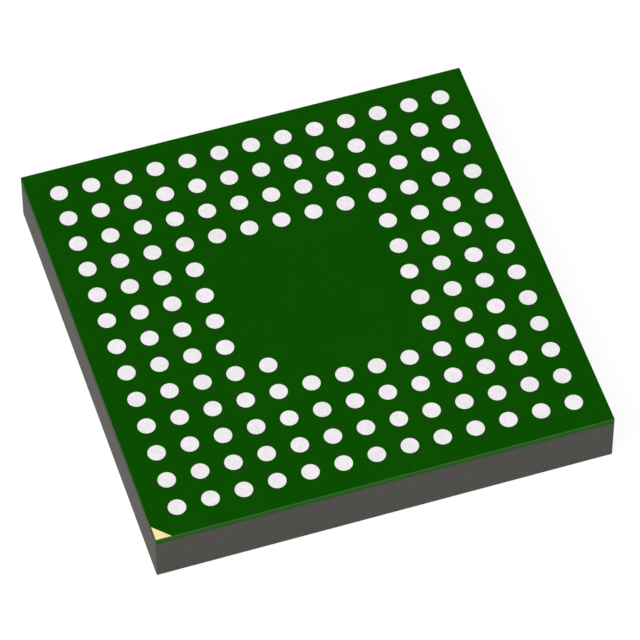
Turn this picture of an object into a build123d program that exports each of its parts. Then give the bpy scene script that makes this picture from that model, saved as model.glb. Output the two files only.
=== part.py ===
from build123d import *
from math import hypot, pi, sin, sqrt
import os

# A thin land grid array chip package, 9 mm square with 145 lands at 0.65 mm pitch.
# It lies on its marked face with the lands up. Sizes are in millimetres. The origin is
# at the middle of the marked face, +Z points out of the land face, and the corner by
# land A1 is at -X, -Y. Rows run along X and are lettered from -Y, columns count from -X.

# Layers, from the marked face up
body_side = 9.0
mould_height = 0.985
inner_mask_thickness = 0.020
core_thickness = 0.100
outer_mask_thickness = 0.025

# Land grid, as many lands as the body has room for inside the margin
land_pitch = 0.65
least_edge_margin = 0.55
filled_rings = 4
land_diameter = 0.35
land_facets = 8

# Marks by land A1
index_leg = 0.33
index_inset = 0.015
dot_diameter = 0.50
dot_depth = 0.020
dot_inset = 1.10

# Die, face down under the laminate
die_side = 4.60
die_thickness = 0.200
die_film_thickness = 0.025

# Bond wires, one straight comb on each side of the die
wires_per_side = 26
wire_pitch = 0.16
wire_thickness = 0.020
pad_inset = 0.10
finger_reach = 0.55
loop_height = 0.12

# Heights of the faces where the layers meet
inner_mask_bottom = mould_height
core_bottom = inner_mask_bottom + inner_mask_thickness
core_top = core_bottom + core_thickness
die_bottom = mould_height - die_film_thickness - die_thickness

# Corner by land A1, and the lands of a full row with the first one's place
corner = -body_side / 2
lands_per_side = 1 + int((body_side - 2 * least_edge_margin) / land_pitch)
first_land = -land_pitch * (lands_per_side - 1) / 2

# A land is round. It is drawn as a regular prism of the same area, flats along the body's sides.
land_corner_radius = land_diameter / 2 * sqrt(2 * pi / (land_facets * sin(2 * pi / land_facets)))
land_turn = 180 / land_facets

row_letters = "ABCDEFGHJKLMNPRTUVWY"

outward_from_die = {
    "front": Vector(0, -1, 0),
    "right": Vector(1, 0, 0),
    "back": Vector(0, 1, 0),
    "left": Vector(-1, 0, 0),
}


# Centres of the lands in one row: full rings from the edge in, and the key land just inside them
# at the A1 corner
def land_centres(row):
    last = lands_per_side - 1
    centres = []
    for column in range(lands_per_side):
        ring = min(row, column, last - row, last - column)
        is_key = row == column == filled_rings
        if ring < filled_rings or is_key:
            centres.append((first_land + column * land_pitch, first_land + row * land_pitch))
    return centres


def draw_lands(centres, mode=Mode.ADD):
    with Locations(*centres):
        RegularPolygon(land_corner_radius, land_facets, rotation=land_turn, mode=mode)


# Gold triangle at the A1 corner, a little in from the sawn edges. Its leg is measured from the
# body's corner to where its long side would meet the edge.
def draw_index_triangle(mode=Mode.ADD):
    near = corner + index_inset
    far = corner + index_leg - index_inset
    Polygon(
        (near, near),
        (far, near),
        (near, far),
        align=None,
        mode=mode,
    )


# Upright plane on the part's axis, with x pointing out from the die and y up
def upright_plane(outward):
    return Plane(origin=(0, 0, 0), x_dir=outward, z_dir=outward.cross(Vector(0, 0, 1)))


# Side view of a bond wire: up from its pad on the die, over the die's edge and back to its finger
# on the inner mask. The sloping run keeps the wire's thickness across itself.
def draw_wire_profile():
    pad = die_side / 2 - pad_inset
    finger = die_side / 2 + finger_reach
    loop_bottom = die_bottom - loop_height
    rise = inner_mask_bottom - loop_bottom
    run = finger - pad
    foot = wire_thickness * hypot(rise, run) / rise
    inner_bend = loop_bottom + (wire_thickness + foot) * rise / run
    Polygon(
        (pad, die_bottom),
        (pad, loop_bottom),
        (finger, inner_mask_bottom),
        (finger - foot, inner_mask_bottom),
        (pad + wire_thickness, inner_bend),
        (pad + wire_thickness, die_bottom),
        align=None,
    )


# Mould cap: saw-cut block, cast round the die, its film and the wires
comb_width = wire_pitch * (wires_per_side - 1) + wire_thickness

with BuildPart() as mould_cap:
    with BuildSketch():
        Rectangle(body_side, body_side)
    extrude(amount=mould_height)
    with BuildSketch(Plane.XY.offset(die_bottom)):
        Rectangle(die_side, die_side)
    extrude(amount=die_thickness + die_film_thickness, mode=Mode.SUBTRACT)
    for outward in outward_from_die.values():
        with BuildSketch(upright_plane(outward)):
            draw_wire_profile()
        extrude(amount=comb_width / 2, both=True, mode=Mode.SUBTRACT)
    with BuildSketch():
        with Locations((corner + dot_inset, corner + dot_inset)):
            Circle(dot_diameter / 2)
    extrude(amount=dot_depth, mode=Mode.SUBTRACT)
mould_cap.part.label = "mould_cap"

# Die and the adhesive film that holds it to the laminate
with BuildPart() as die:
    with BuildSketch(Plane.XY.offset(die_bottom)):
        Rectangle(die_side, die_side)
    extrude(amount=die_thickness)
die.part.label = "die"

with BuildPart() as die_attach_film:
    with BuildSketch(Plane.XY.offset(die_bottom + die_thickness)):
        Rectangle(die_side, die_side)
    extrude(amount=die_film_thickness)
die_attach_film.part.label = "die_attach_film"

# Laminate: inner mask, core, and outer mask with a window for each land and for the index mark
centres_by_row = [land_centres(row) for row in range(lands_per_side)]
all_centres = sum(centres_by_row, [])

with BuildPart() as solder_mask_inner:
    with BuildSketch(Plane.XY.offset(inner_mask_bottom)):
        Rectangle(body_side, body_side)
    extrude(amount=inner_mask_thickness)
solder_mask_inner.part.label = "solder_mask_inner"

with BuildPart() as substrate_core:
    with BuildSketch(Plane.XY.offset(core_bottom)):
        Rectangle(body_side, body_side)
    extrude(amount=core_thickness)
substrate_core.part.label = "substrate_core"

with BuildPart() as solder_mask_outer:
    with BuildSketch(Plane.XY.offset(core_top)):
        Rectangle(body_side, body_side)
        draw_lands(all_centres, mode=Mode.SUBTRACT)
        draw_index_triangle(mode=Mode.SUBTRACT)
    extrude(amount=outer_mask_thickness)
solder_mask_outer.part.label = "solder_mask_outer"

# Index mark: gold-plated copper on the core, flush with the mask
with BuildPart() as index_mark:
    with BuildSketch(Plane.XY.offset(core_top)):
        draw_index_triangle()
    extrude(amount=outer_mask_thickness)
index_mark.part.label = "index_mark"

pieces = [
    mould_cap,
    die,
    die_attach_film,
    solder_mask_inner,
    substrate_core,
    solder_mask_outer,
    index_mark,
]

# Lands, one node for each lettered row, from the core up to the mask's face
for letter, centres in zip(row_letters, centres_by_row):
    with BuildPart() as land_row:
        with BuildSketch(Plane.XY.offset(core_top)):
            draw_lands(centres)
        extrude(amount=outer_mask_thickness)
    land_row.part.label = "lands_row_" + letter.lower()
    pieces.append(land_row)

# Bond wires, one node for each side of the die
for side, outward in outward_from_die.items():
    first_wire = upright_plane(outward).offset(-wire_pitch * (wires_per_side - 1) / 2)
    wire_planes = [first_wire.offset(wire_pitch * wire) for wire in range(wires_per_side)]
    with BuildPart() as bond_wires:
        with BuildSketch(*wire_planes):
            draw_wire_profile()
        extrude(amount=wire_thickness / 2, both=True)
    bond_wires.part.label = "bond_wires_" + side
    pieces.append(bond_wires)

os.makedirs("parts", exist_ok=True)
for piece in pieces:
    export_step(piece.part, f"parts/{piece.part.label}.step")
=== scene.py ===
from math import radians, pi, sin, cos

import bpy
import bmesh
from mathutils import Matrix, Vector


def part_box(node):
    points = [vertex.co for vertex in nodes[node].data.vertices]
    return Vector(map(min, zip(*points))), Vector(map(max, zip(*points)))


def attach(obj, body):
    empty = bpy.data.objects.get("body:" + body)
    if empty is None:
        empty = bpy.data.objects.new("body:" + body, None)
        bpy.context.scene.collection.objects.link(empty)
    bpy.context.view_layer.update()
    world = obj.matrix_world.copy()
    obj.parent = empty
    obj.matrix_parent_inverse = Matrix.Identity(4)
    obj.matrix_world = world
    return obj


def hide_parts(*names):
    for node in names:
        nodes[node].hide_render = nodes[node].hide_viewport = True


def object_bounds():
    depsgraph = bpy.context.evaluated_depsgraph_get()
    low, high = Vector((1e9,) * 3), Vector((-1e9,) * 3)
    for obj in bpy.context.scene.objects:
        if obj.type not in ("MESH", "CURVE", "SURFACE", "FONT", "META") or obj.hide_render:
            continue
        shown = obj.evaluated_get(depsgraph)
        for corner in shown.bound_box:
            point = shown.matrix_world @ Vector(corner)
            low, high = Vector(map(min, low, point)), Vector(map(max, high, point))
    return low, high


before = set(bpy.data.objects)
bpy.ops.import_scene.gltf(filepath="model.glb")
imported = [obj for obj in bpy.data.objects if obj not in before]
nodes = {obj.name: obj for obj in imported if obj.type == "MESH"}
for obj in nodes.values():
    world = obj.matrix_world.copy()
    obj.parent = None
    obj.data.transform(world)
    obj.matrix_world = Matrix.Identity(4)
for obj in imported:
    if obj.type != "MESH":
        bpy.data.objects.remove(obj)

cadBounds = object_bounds()
millimetre = 0.001   # pieces are shaped in millimetres and finished in metres
joinWithin = 0.00001   # corners closer than this, in millimetres, become one


# Mesh helpers

def nodeBoxMm(name):
    low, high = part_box(name)
    return Vector(low) / millimetre, Vector(high) / millimetre


def addLoop(bm, corners, height):
    verts = [bm.verts.new((x, y, height)) for x, y in corners]
    return [bm.edges.new((verts[i - 1], verts[i])) for i in range(len(verts))]


def addRing(bm, centre, radius, sides, height):
    ring = bmesh.ops.create_circle(bm, cap_ends=False, segments=sides, radius=radius)
    bmesh.ops.translate(bm, verts=ring["verts"], vec=(centre[0], centre[1], height))
    return list({edge for vert in ring["verts"] for edge in vert.link_edges})


# Pulls every face up into a solid of the given thickness and rounds its upper rims
def raiseFaces(bm, thickness, rimBevel):
    raised = bmesh.ops.extrude_face_region(bm, geom=list(bm.faces))
    upper = {item for item in raised["geom"] if isinstance(item, bmesh.types.BMVert)}
    bmesh.ops.translate(bm, verts=list(upper), vec=(0, 0, thickness))
    rims = [edge for edge in bm.edges if upper.issuperset(edge.verts)]
    bmesh.ops.bevel(
        bm, geom=rims, offset=rimBevel, segments=1, affect="EDGES", profile=0.5, material=-1)


def finishPiece(bm, name, material, replacedNode):
    bmesh.ops.remove_doubles(bm, verts=bm.verts, dist=joinWithin)
    bmesh.ops.recalc_face_normals(bm, faces=bm.faces)
    bmesh.ops.scale(bm, vec=(millimetre, millimetre, millimetre), verts=bm.verts)
    mesh = bpy.data.meshes.new(name)
    bm.to_mesh(mesh)
    bm.free()
    mesh.materials.append(material)
    piece = bpy.data.objects.new(name, mesh)
    bpy.context.scene.collection.objects.link(piece)
    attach(piece, "root")
    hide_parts(replacedNode)


# Material helpers

# Adds a node, with each input given either a value or the output that feeds it
def addNode(tree, kind, inputs=None, **settings):
    node = tree.nodes.new(kind)
    for key, value in settings.items():
        setattr(node, key, value)
    for key, value in (inputs or {}).items():
        if isinstance(value, bpy.types.NodeSocket):
            tree.links.new(value, node.inputs[key])
        else:
            node.inputs[key].default_value = value
    return node


# One sum, on values or on the outputs of nodes
def worked(tree, operation, *values):
    return addNode(tree, "ShaderNodeMath", dict(enumerate(values)), operation=operation).outputs[0]


def split(tree, vector):
    return addNode(tree, "ShaderNodeSeparateXYZ", {0: vector}).outputs


# Multiplies a colour by each shade in turn
def tinted(tree, colour, *shades):
    for shade in shades:
        scaled = addNode(tree, "ShaderNodeVectorMath", {0: colour, "Scale": shade}, operation="SCALE")
        colour = scaled.outputs[0]
    return colour


# Blends two colours: a colour Mix node takes them at inputs 6 and 7 and gives output 2
def mixed(tree, factor, first, second):
    return addNode(tree, "ShaderNodeMix", {0: factor, 6: first, 7: second}, data_type="RGBA").outputs[2]


# A colour as a screen shows it, 0 to 255, turned into a shader's
def screenColour(*levels):
    shares = [level / 255 for level in levels]
    curved = [s / 12.92 if s <= 0.04045 else ((s + 0.055) / 1.055) ** 2.4 for s in shares]
    return (*curved, 1.0)


def newGroup(name, vectors, numbers, results):
    group = bpy.data.node_groups.new(name, "ShaderNodeTree")
    for label in vectors:
        group.interface.new_socket(name=label, in_out="INPUT", socket_type="NodeSocketVector")
    for label in numbers:
        group.interface.new_socket(name=label, in_out="INPUT", socket_type="NodeSocketFloat")
    for label in results:
        group.interface.new_socket(name=label, in_out="OUTPUT", socket_type="NodeSocketFloat")
    return group, group.nodes.new("NodeGroupInput").outputs, group.nodes.new("NodeGroupOutput").inputs


noiseMiddle = 0.5   # noise runs from 0 to 1, and heights wander as far either side of 0


# Uneven tone: a height that wanders either side of 0, and a shade near 1 that follows it.
# Share says how much of it there is at each place.
def makeGrainGroup():
    group, given, result = newGroup(
        "grain", ["Place"], ["Per Mm", "Contrast", "Share"], ["Height", "Shade"])
    noise = addNode(group, "ShaderNodeTexNoise", {
        "Vector": given["Place"], "Scale": given["Per Mm"], "Detail": 3.0, "Roughness": 0.6})
    offset = worked(group, "SUBTRACT", noise.outputs["Fac"], noiseMiddle)
    height = worked(group, "MULTIPLY", offset, given["Share"])
    group.links.new(height, result["Height"])
    group.links.new(worked(group, "MULTIPLY_ADD", height, given["Contrast"], 1.0), result["Shade"])
    return group


sawCuts = {
    "changesPerMm": 0.5,   # how fast a line fades in and out along the cut
    "turned": 0.5,         # a face is turned up or sideways past this share of its direction
}


# Saw marks: fine lines along the cut that fade in and out, on upright faces only.
# It also tells which upright faces are turned to the left and right.
def makeSawGroup():
    group, given, result = newGroup(
        "sawMarks", ["Place", "Normal"], ["Lines Per Mm", "Contrast"],
        ["Height", "Shade", "Cut Side", "Left Right Side"])
    place = split(group, given["Place"])
    alongCut = worked(group, "ADD", place["X"], place["Y"])
    along = worked(group, "MULTIPLY", alongCut, sawCuts["changesPerMm"])
    across = worked(group, "MULTIPLY", place["Z"], given["Lines Per Mm"])
    stretched = addNode(group, "ShaderNodeCombineXYZ", {0: along, 2: across})
    lines = addNode(group, "ShaderNodeTexNoise", {
        "Vector": stretched.outputs[0], "Scale": 1.0, "Detail": 4.0, "Roughness": 0.65})
    facing = split(group, given["Normal"])
    cutSide = worked(group, "LESS_THAN", worked(group, "ABSOLUTE", facing["Z"]), sawCuts["turned"])
    # 1 on the faces turned to the left and right
    leftRightSide = worked(group, "GREATER_THAN", worked(group, "ABSOLUTE", facing["X"]), sawCuts["turned"])
    offset = worked(group, "SUBTRACT", lines.outputs["Fac"], noiseMiddle)
    height = worked(group, "MULTIPLY", offset, cutSide)
    group.links.new(height, result["Height"])
    group.links.new(worked(group, "MULTIPLY_ADD", height, given["Contrast"], 1.0), result["Shade"])
    group.links.new(cutSide, result["Cut Side"])
    group.links.new(leftRightSide, result["Left Right Side"])
    return group


grainGroup = makeGrainGroup()
sawGroup = makeSawGroup()


def useGrain(tree, place, perMm, contrast=0.0, share=1.0):
    return addNode(tree, "ShaderNodeGroup", {
        "Place": place, "Per Mm": perMm, "Contrast": contrast, "Share": share},
        node_tree=grainGroup).outputs


def useSawMarks(tree, place, normal, look):
    return addNode(tree, "ShaderNodeGroup", {
        "Place": place, "Normal": normal,
        "Lines Per Mm": look["sawLinesPerMm"], "Contrast": look["sawContrast"]},
        node_tree=sawGroup).outputs


# A shader with its fixed values, the place in millimetres and the face's own direction
def startMaterial(name, look):
    material = bpy.data.materials.new(name)
    material.use_nodes = True
    tree = material.node_tree
    shader = tree.nodes["Principled BSDF"]
    shader.inputs["Metallic"].default_value = look["metallic"]
    shader.inputs["Specular IOR Level"].default_value = look["specular"]
    coords = addNode(tree, "ShaderNodeTexCoord").outputs
    place = addNode(tree, "ShaderNodeMapping", {
        "Vector": coords["Object"], "Scale": [1 / millimetre] * 3})
    return material, tree, shader, place.outputs[0], coords["Normal"]


# Joins a colour, an uneven roughness and a shallow relief to the shader
def finishMaterial(tree, shader, colour, height, look):
    tree.links.new(colour, shader.inputs["Base Color"])
    rough = addNode(tree, "ShaderNodeMapRange", {
        "Value": height, "From Min": -noiseMiddle, "From Max": noiseMiddle,
        "To Min": look["roughness"] - look["roughnessSpread"],
        "To Max": look["roughness"] + look["roughnessSpread"]})
    tree.links.new(rough.outputs[0], shader.inputs["Roughness"])
    relief = addNode(tree, "ShaderNodeBump", {"Height": height, "Distance": look["reliefMm"] * millimetre})
    tree.links.new(relief.outputs[0], shader.inputs["Normal"])


# Solder mask: a green film with next to no gloss. Its cut edge is paler; on the outer mask that is
# partly the film's own edge and partly a painted highlight. The cut faces turned left and right are grey.
outerMaskLook = {
    "face": screenColour(11, 76, 1),
    # Paler cut edge: partly the film's own edge and partly a painted highlight along it
    "cut": screenColour(64, 130, 54),
    # Grey for the cut faces turned to the left and right
    "leftRightGrey": screenColour(58, 79, 51),
    "metallic": 0.0,
    "specular": 0.012,
    "roughness": 0.5,
    "roughnessSpread": 0.08,
    "reliefMm": 0.0008,
    "ripplePerMm": 9.0,
    "cloudsPerMm": 0.8,
    "contrast": 0.10,
    "sawLinesPerMm": 60.0,
    "sawContrast": 0.3,
}
innerMaskLook = {**outerMaskLook, "cut": screenColour(52, 96, 46)}


def makeMaskMaterial(name, look):
    material, tree, shader, place, normal = startMaterial(name, look)
    ripple = useGrain(tree, place, look["ripplePerMm"], look["contrast"])
    clouds = useGrain(tree, place, look["cloudsPerMm"], look["contrast"])
    saw = useSawMarks(tree, place, normal, look)
    face = tinted(tree, look["face"][:3], ripple["Shade"], clouds["Shade"])
    # The cut faces: on the outer mask their colour holds a painted highlight, and those turned to the left
    # and right are grey
    cut = tinted(tree, mixed(tree, saw["Left Right Side"], look["cut"], look["leftRightGrey"]), saw["Shade"])
    colour = mixed(tree, saw["Cut Side"], face, cut)
    finishMaterial(tree, shader, colour, ripple["Height"], look)
    return material


# Laminate core: glass cloth in tinted resin, seen only where the saw cut it
coreLook = {
    "resin": screenColour(44, 92, 37),
    "glass": screenColour(49, 97, 42),
    # Grey for the cut faces turned to the left and right
    "leftRightGrey": screenColour(58, 79, 51),
    "metallic": 0.0,
    "specular": 0.05,
    "roughness": 0.7,
    "roughnessSpread": 0.1,
    "reliefMm": 0.002,
    "bundlesPerMm": 7.0,
    "bundleWidth": 5.0,   # how many times wider than thick a bundle of glass is
    "sawLinesPerMm": 90.0,
    "sawContrast": 0.35,
}


def makeCoreMaterial(name, look):
    material, tree, shader, place, normal = startMaterial(name, look)
    saw = useSawMarks(tree, place, normal, look)
    flattened = addNode(tree, "ShaderNodeMapping", {
        "Vector": place, "Scale": (1.0, 1.0, look["bundleWidth"])})
    cloth = useGrain(tree, flattened.outputs[0], look["bundlesPerMm"])
    glass = worked(tree, "ADD", cloth["Height"], noiseMiddle)
    blend = mixed(tree, glass, look["resin"], look["glass"])
    # Grey on the cut faces turned to the left and right
    colour = tinted(tree, mixed(tree, saw["Left Right Side"], blend, look["leftRightGrey"]), saw["Shade"])
    finishMaterial(tree, shader, colour, saw["Height"], look)
    return material


# Mould compound: grey epoxy full of fine silica grains. Its four sides are sawn. Its marked face
# has the pebbled texture of the mould, and the pin-one dot in it a smooth floor with painted shade.
mouldLook = {
    "resin": screenColour(86, 84, 80),
    "silica": screenColour(102, 100, 96),
    "metallic": 0.0,
    "specular": 0.12,
    "roughness": 0.75,
    "roughnessSpread": 0.08,
    "reliefMm": 0.003,
    "silicaPerMm": 38.0,
    "silicaReach": (0.12, 0.30),   # where a grain's middle ends and its rim ends, in cells
    "silicaShare": 0.5,
    "cloudsPerMm": 1.1,
    "cloudContrast": 0.06,
    "contrast": 0.12,
    "sawLinesPerMm": 26.0,
    "sawContrast": 0.16,
    "pebblesPerMm": 9.0,
    "pebbleContrast": 0.8,
    "pebbleRelief": 8.0,       # times the relief of the grain
    "dotFloorMm": 0.01,        # the marked face lies below this height and the dot's floor above
    # Painted shade: how dark the dot's floor is made
    "dotFloorPaintedShade": 0.85,
}


def makeMouldMaterial(name, look):
    material, tree, shader, place, normal = startMaterial(name, look)
    grain = useGrain(tree, place, look["silicaPerMm"], look["contrast"])
    clouds = useGrain(tree, place, look["cloudsPerMm"], look["cloudContrast"])
    saw = useSawMarks(tree, place, normal, look)
    cells = addNode(tree, "ShaderNodeTexVoronoi", {"Vector": place, "Scale": look["silicaPerMm"]})
    silica = addNode(tree, "ShaderNodeMapRange", {
        "Value": cells.outputs["Distance"],
        "From Min": look["silicaReach"][0], "From Max": look["silicaReach"][1],
        "To Min": look["silicaShare"], "To Max": 0.0})
    blend = mixed(tree, silica.outputs[0], look["resin"], look["silica"])
    outermost = worked(tree, "LESS_THAN", split(tree, place)["Z"], look["dotFloorMm"])
    pebbled = worked(tree, "GREATER_THAN", outermost, saw["Cut Side"])
    pebbles = useGrain(tree, place, look["pebblesPerMm"], look["pebbleContrast"], pebbled)
    # Painted shade: darker on the dot's floor alone
    dotFloorPaintedShade = addNode(tree, "ShaderNodeMapRange", {
        "Value": worked(tree, "MAXIMUM", outermost, saw["Cut Side"]),
        "To Min": look["dotFloorPaintedShade"], "To Max": 1.0})
    colour = tinted(
        tree, blend, grain["Shade"], clouds["Shade"], saw["Shade"], pebbles["Shade"], dotFloorPaintedShade.outputs[0])
    fine = worked(tree, "ADD", grain["Height"], saw["Height"])
    height = worked(tree, "MULTIPLY_ADD", pebbles["Height"], look["pebbleRelief"], fine)
    finishMaterial(tree, shader, colour, height, look)
    return material


# Bare surfaces with a grain of their own: plating, silicon, film and wire
landLook = {
    "colour": screenColour(239, 235, 239),
    "metallic": 1.0,
    "specular": 0.5,
    "roughness": 0.30,
    "roughnessSpread": 0.08,
    "reliefMm": 0.0004,
    "grainPerMm": 45.0,
    "grainContrast": 0.8,
    "blotchesPerMm": 9.0,
    "cloudsPerMm": 2.2,
    "contrast": 0.2,
}
goldLook = {**landLook, "colour": screenColour(252, 231, 166)}
siliconLook = {
    **landLook,
    "colour": screenColour(96, 98, 108),
    "metallic": 0.6,
    "roughness": 0.22,
    "grainContrast": 0.06,
    "contrast": 0.06,
}
filmLook = {
    **landLook,
    "colour": screenColour(224, 218, 200),
    "metallic": 0.0,
    "roughness": 0.6,
    "grainContrast": 0.08,
    "contrast": 0.08,
}
wireLook = {
    **landLook,
    "colour": screenColour(250, 214, 130),
    "roughness": 0.22,
    "grainContrast": 0.05,
    "contrast": 0.05,
}


def makeBareMaterial(name, look):
    material, tree, shader, place, _ = startMaterial(name, look)
    grain = useGrain(tree, place, look["grainPerMm"], look["grainContrast"])
    blotches = useGrain(tree, place, look["blotchesPerMm"], look["contrast"])
    clouds = useGrain(tree, place, look["cloudsPerMm"], look["contrast"])
    colour = tinted(tree, look["colour"][:3], grain["Shade"], blotches["Shade"], clouds["Shade"])
    finishMaterial(tree, shader, colour, grain["Height"], look)
    return material


outerMaskMaterial = makeMaskMaterial("outerSolderMask", outerMaskLook)
landMaterial = makeBareMaterial("landPlating", landLook)
goldMaterial = makeBareMaterial("goldPlating", goldLook)
print("stage: materials ready")

# Sawn slabs and inner pieces keep their own solids, and only get their finish
nodeMaterials = {
    "mould_cap": makeMouldMaterial("mouldCompound", mouldLook),
    "solder_mask_inner": makeMaskMaterial("innerSolderMask", innerMaskLook),
    "substrate_core": makeCoreMaterial("laminate", coreLook),
    "die": makeBareMaterial("silicon", siliconLook),
    "die_attach_film": makeBareMaterial("adhesiveFilm", filmLook),
}
wireMaterial = makeBareMaterial("goldWire", wireLook)
for name in nodes:
    if name.startswith("bond_wires_"):
        nodeMaterials[name] = wireMaterial
for name, material in nodeMaterials.items():
    nodes[name].data.materials.clear()
    nodes[name].data.materials.append(material)
print("stage: solids dressed")

# Lands: a square grid whose lines run through the middles of the frame's rows of lands
landGrid = {
    "filledRings": 4,
    "diameter": 0.35,
    "sides": 24,
    "rimBevel": 0.0025,
}
rowNames = sorted(name for name in nodes if name.startswith("lands_row_"))
gridLines = [sum(nodeBoxMm(name), Vector()).y / 2 for name in rowNames]


# Full rings of lands from the edge in, and the key land just inside them near the index mark
def landCentres(row):
    last = len(gridLines) - 1
    centres = []
    for column in range(last + 1):
        ring = min(row, column, last - row, last - column)
        isKey = row == column == landGrid["filledRings"]
        if ring < landGrid["filledRings"] or isKey:
            centres.append((gridLines[column], gridLines[row]))
    return centres


def makeLandRow(row, name):
    low, high = nodeBoxMm(name)
    bm = bmesh.new()
    for x, y in landCentres(row):
        disc = bmesh.ops.create_circle(
            bm, cap_ends=True, segments=landGrid["sides"], radius=landGrid["diameter"] / 2)
        bmesh.ops.translate(bm, verts=disc["verts"], vec=(x, y, low.z))
    raiseFaces(bm, high.z - low.z, landGrid["rimBevel"])
    finishPiece(bm, "landsRow" + name[-1].upper(), landMaterial, name)


for row, name in enumerate(rowNames):
    makeLandRow(row, name)
print("stage: lands ready")

# Index mark: a flat gold triangle by the first land, a little in from the sawn edges
indexMark = {
    "node": "index_mark",
    "rimBevel": 0.003,
    "spread": 0.006,   # how far it spreads past its node towards the sawn edges
}


def indexCorners():
    low, high = nodeBoxMm(indexMark["node"])
    spread = Vector((indexMark["spread"], indexMark["spread"], 0))
    near, far = low - spread, high + spread
    return [(near.x, near.y), (far.x, near.y), (near.x, far.y)]


def makeIndexMark():
    low, high = nodeBoxMm(indexMark["node"])
    bm = bmesh.new()
    bmesh.ops.contextual_create(bm, geom=addLoop(bm, indexCorners(), low.z))
    raiseFaces(bm, high.z - low.z, indexMark["rimBevel"])
    finishPiece(bm, "indexMark", goldMaterial, indexMark["node"])


makeIndexMark()
print("stage: index mark ready")

# Outer mask: one film over the whole core, with a flared round window for each land
outerMask = {
    "node": "solder_mask_outer",
    "windowFlare": 0.005,   # how far a window's rim stands back from its land
}


def makeOuterMask():
    low, high = nodeBoxMm(outerMask["node"])
    radius = landGrid["diameter"] / 2
    bm = bmesh.new()
    outlines = [
        [(low.x, low.y), (high.x, low.y), (high.x, high.y), (low.x, high.y)],
        indexCorners(),
    ]
    walls = [(addLoop(bm, outline, high.z), addLoop(bm, outline, low.z)) for outline in outlines]
    for row in range(len(gridLines)):
        for centre in landCentres(row):
            mouth = addRing(bm, centre, radius + outerMask["windowFlare"], landGrid["sides"], high.z)
            foot = addRing(bm, centre, radius, landGrid["sides"], low.z)
            walls.append((mouth, foot))
    upper = [edge for wall in walls for edge in wall[0]]
    lower = [edge for wall in walls for edge in wall[1]]
    for wall in walls:
        bmesh.ops.bridge_loops(bm, edges=wall[0] + wall[1])
    bmesh.ops.triangle_fill(bm, use_beauty=True, edges=upper, normal=(0, 0, 1))
    bmesh.ops.triangle_fill(bm, use_beauty=True, edges=lower, normal=(0, 0, -1))
    finishPiece(bm, "outerMask", outerMaskMaterial, outerMask["node"])


makeOuterMask()
print("stage: outer mask ready")

# Camera, where the photograph was taken from
view = {
    "azimuth": -17.963,
    "elevation": 52.943,
    "distance": 0.09986,
    "target": (-0.0000413, -0.0005884),   # on the land side
    "focalPixels": 5250.67,
    "widthPixels": 640,
    "sensor": 36.0,
    "clipStart": 0.005,
    "clipEnd": 10.0,
}


def towards(azimuth, elevation):
    turn, rise = radians(azimuth), radians(elevation)
    return Vector((sin(turn) * cos(rise), -cos(turn) * cos(rise), sin(rise)))


def makeCamera():
    data = bpy.data.cameras.new("photoCamera")
    data.sensor_width = view["sensor"]
    data.lens = view["focalPixels"] / view["widthPixels"] * view["sensor"]
    data.clip_start = view["clipStart"]
    data.clip_end = view["clipEnd"]
    camera = bpy.data.objects.new("photoCamera", data)
    back = towards(view["azimuth"], view["elevation"])
    camera.location = Vector((*view["target"], cadBounds[1].z)) + back * view["distance"]
    camera.rotation_euler = back.to_track_quat("Z", "Y").to_euler()
    bpy.context.scene.collection.objects.link(camera)
    bpy.context.scene.camera = camera


# Studio: a white floor, even light from all round and a broad lamp from the front left. The floor
# is open under the part and clear from below, and a second lamp there lights the marked face.
studio = {
    "floorSize": 1.2,
    "floorGap": 0.000002,   # keeps the floor's face and the part's apart
    "floorColour": (0.80, 0.80, 0.80, 1.0),
    "floorOwnWhite": 0.94,
    "shadowShare": (0.075, 0.075, 0.075, 1.0),
    "roomLight": 0.35,
    "lampLevel": 0.79,
    "lampAzimuth": -65,
    "lampElevation": 55,
    "lampSpread": 30,
}


# 1 for what the camera sees, straight or by way of gloss or glass, and 0 for what lights the part
def seenDirectly(tree):
    path = addNode(tree, "ShaderNodeLightPath").outputs
    straight = worked(tree, "MAXIMUM", path["Is Camera Ray"], path["Is Glossy Ray"])
    return worked(tree, "MAXIMUM", straight, path["Is Transmission Ray"])


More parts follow.
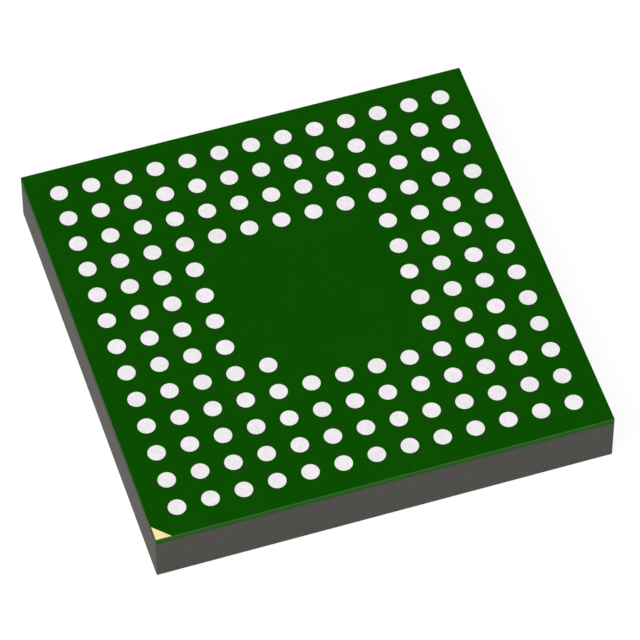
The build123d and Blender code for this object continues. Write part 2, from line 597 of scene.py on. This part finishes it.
def makeFloorMaterial():
    material = bpy.data.materials.new("floorWhite")
    material.use_nodes = True
    tree = material.node_tree
    tree.nodes.remove(tree.nodes["Principled BSDF"])
    paint = addNode(tree, "ShaderNodeBsdfDiffuse", {"Color": studio["floorColour"]})
    shadow = addNode(tree, "ShaderNodeBsdfDiffuse", {"Color": studio["shadowShare"]})
    white = addNode(tree, "ShaderNodeEmission", {
        "Color": (1, 1, 1, 1), "Strength": studio["floorOwnWhite"]})
    shown = addNode(tree, "ShaderNodeAddShader", {0: shadow.outputs[0], 1: white.outputs[0]})
    above = addNode(tree, "ShaderNodeMixShader", {
        0: seenDirectly(tree), 1: paint.outputs[0], 2: shown.outputs[0]})
    cameraRay = addNode(tree, "ShaderNodeLightPath").outputs["Is Camera Ray"]
    underside = addNode(tree, "ShaderNodeNewGeometry").outputs["Backfacing"]
    both = addNode(tree, "ShaderNodeMixShader", {
        0: worked(tree, "MULTIPLY", cameraRay, underside),
        1: above.outputs[0],
        2: addNode(tree, "ShaderNodeBsdfTransparent").outputs[0]})
    tree.links.new(both.outputs[0], tree.nodes["Material Output"].inputs["Surface"])
    return material


def makeFloor():
    halfSize = studio["floorSize"] / 2
    bm = bmesh.new()
    bmesh.ops.create_grid(bm, x_segments=1, y_segments=1, size=halfSize)
    middle = list(bm.faces)
    bmesh.ops.inset_individual(
        bm, faces=middle, thickness=halfSize - cadBounds[1].x, use_even_offset=True)
    bmesh.ops.delete(bm, geom=middle, context="FACES")
    bmesh.ops.translate(bm, verts=bm.verts, vec=(0, 0, -studio["floorGap"]))
    mesh = bpy.data.meshes.new("floor")
    bm.to_mesh(mesh)
    bm.free()
    mesh.materials.append(makeFloorMaterial())
    floor = bpy.data.objects.new("floor", mesh)
    bpy.context.scene.collection.objects.link(floor)


def makeRoomLight():
    world = bpy.data.worlds.new("studio")
    bpy.context.scene.world = world
    world.use_nodes = True
    tree = world.node_tree
    background = tree.nodes["Background"]
    background.inputs["Color"].default_value = (1, 1, 1, 1)
    strength = addNode(tree, "ShaderNodeMapRange", {
        "Value": seenDirectly(tree), "To Min": studio["roomLight"], "To Max": 1.0})
    tree.links.new(strength.outputs[0], background.inputs["Strength"])


def makeLamp(name, elevation):
    data = bpy.data.lights.new(name, "SUN")
    data.energy = studio["lampLevel"] * pi   # at a level of 1 a face turned to it has its own colour
    data.angle = radians(studio["lampSpread"])
    lamp = bpy.data.objects.new(name, data)
    back = towards(studio["lampAzimuth"], elevation)
    lamp.rotation_euler = back.to_track_quat("Z", "Y").to_euler()
    lamp.visible_glossy = False   # bare metal mirrors the white room, not the lamp
    bpy.context.scene.collection.objects.link(lamp)


makeCamera()
makeFloor()
makeRoomLight()
makeLamp("broadLamp", studio["lampElevation"])
makeLamp("lowerLamp", -studio["lampElevation"])
bpy.context.scene.view_settings.view_transform = "Standard"
print("stage: camera and light ready")
